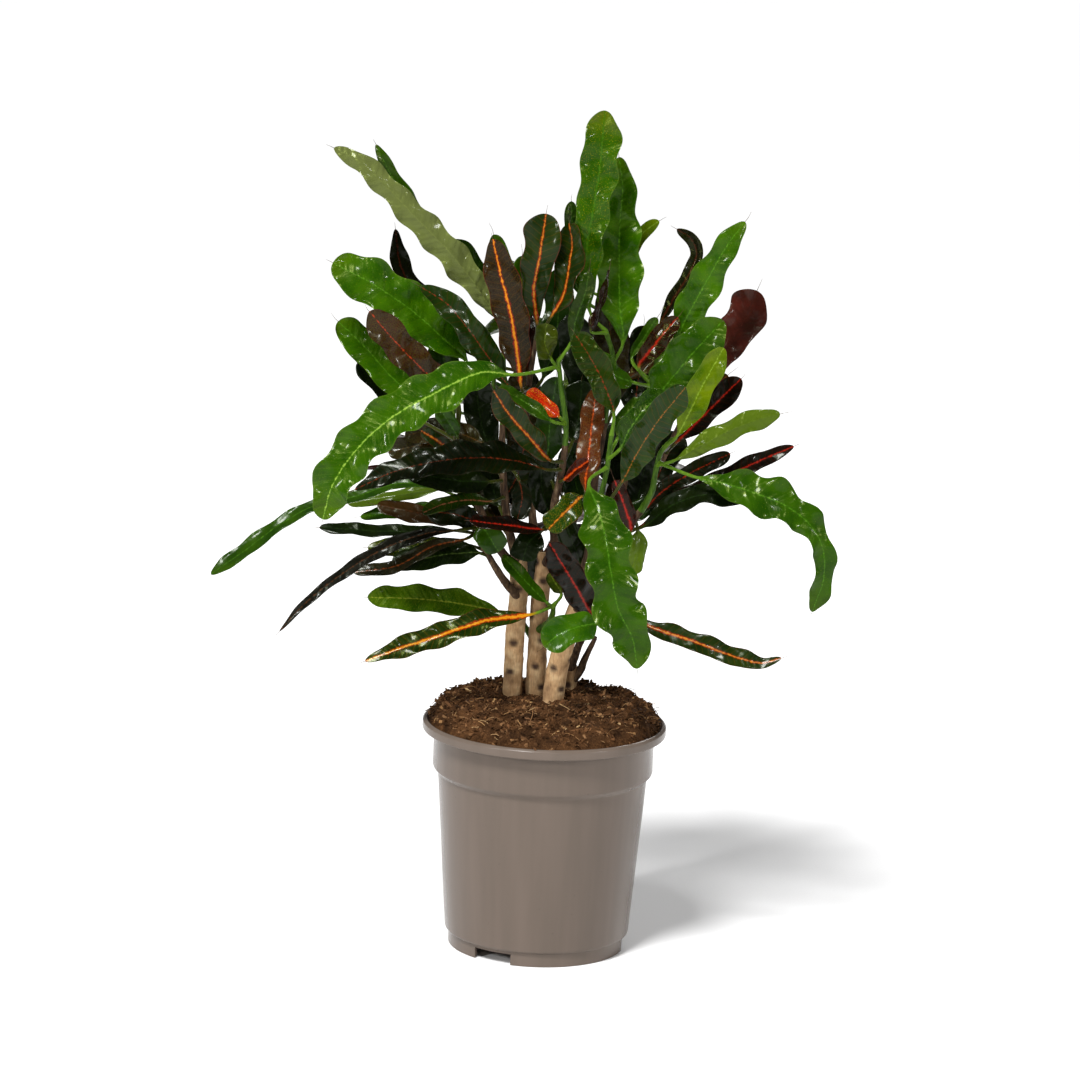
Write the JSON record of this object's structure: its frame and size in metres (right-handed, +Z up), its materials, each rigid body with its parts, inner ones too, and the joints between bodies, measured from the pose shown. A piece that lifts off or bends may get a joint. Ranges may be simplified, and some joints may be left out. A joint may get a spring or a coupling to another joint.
{
  "type": "potted croton plant",
  "caption": "Croton plant with long wavy leaves, bright green to dark green and maroon with red, orange and yellow midribs, on woody stems in a round tapered nursery pot of compost.",
  "frame": {"origin": "on the floor, under the middle of the whole plant's extents; the pot's own axis stands 25.5 mm towards +X and 28.6 mm towards -Y from it", "axes": "+Z up, along the pot's axis and the plant's height; -Y towards the side that the plant shows best; +X to the right of a viewer who looks at that side"},
  "size_m": [0.531, 0.3176, 0.7307],
  "materials": {
    "pot_plastic": "satin gloss",
    "compost": "rough, moist",
    "bark": "rough",
    "mature_foliage": "glossy",
    "young_foliage": "glossy"
  },
  "bodies": {
    "root": {"pot": "pot_plastic", "compost": "compost", "trunk_left": "bark", "trunk_middle": "bark", "trunk_right": "bark", "trunk_back": "bark", "shoot_a_mature": "mature_foliage", "shoot_a_young": "young_foliage", "shoot_b_mature": "mature_foliage", "shoot_b_young": "young_foliage", "shoot_c_mature": "mature_foliage", "shoot_c_young": "young_foliage", "shoot_d_mature": "mature_foliage", "shoot_e_mature": "mature_foliage", "shoot_e_young": "young_foliage", "shoot_f_mature": "mature_foliage", "shoot_f_young": "young_foliage", "shoot_g_mature": "mature_foliage", "shoot_h_mature": "mature_foliage", "shoot_h_young": "young_foliage", "shoot_k_mature": "mature_foliage", "shoot_k_young": "young_foliage", "shoot_n_mature": "mature_foliage", "shoot_p_mature": "mature_foliage", "shoot_p_young": "young_foliage", "shoot_q_mature": "mature_foliage", "shoot_q_young": "young_foliage", "shoot_r_mature": "mature_foliage", "shoot_r_young": "young_foliage", "shoot_low_a_young": "young_foliage", "shoot_low_b_mature": "mature_foliage", "shoot_low_c_young": "young_foliage", "shoot_low_d_mature": "mature_foliage"}
  },
  "joints": []
}
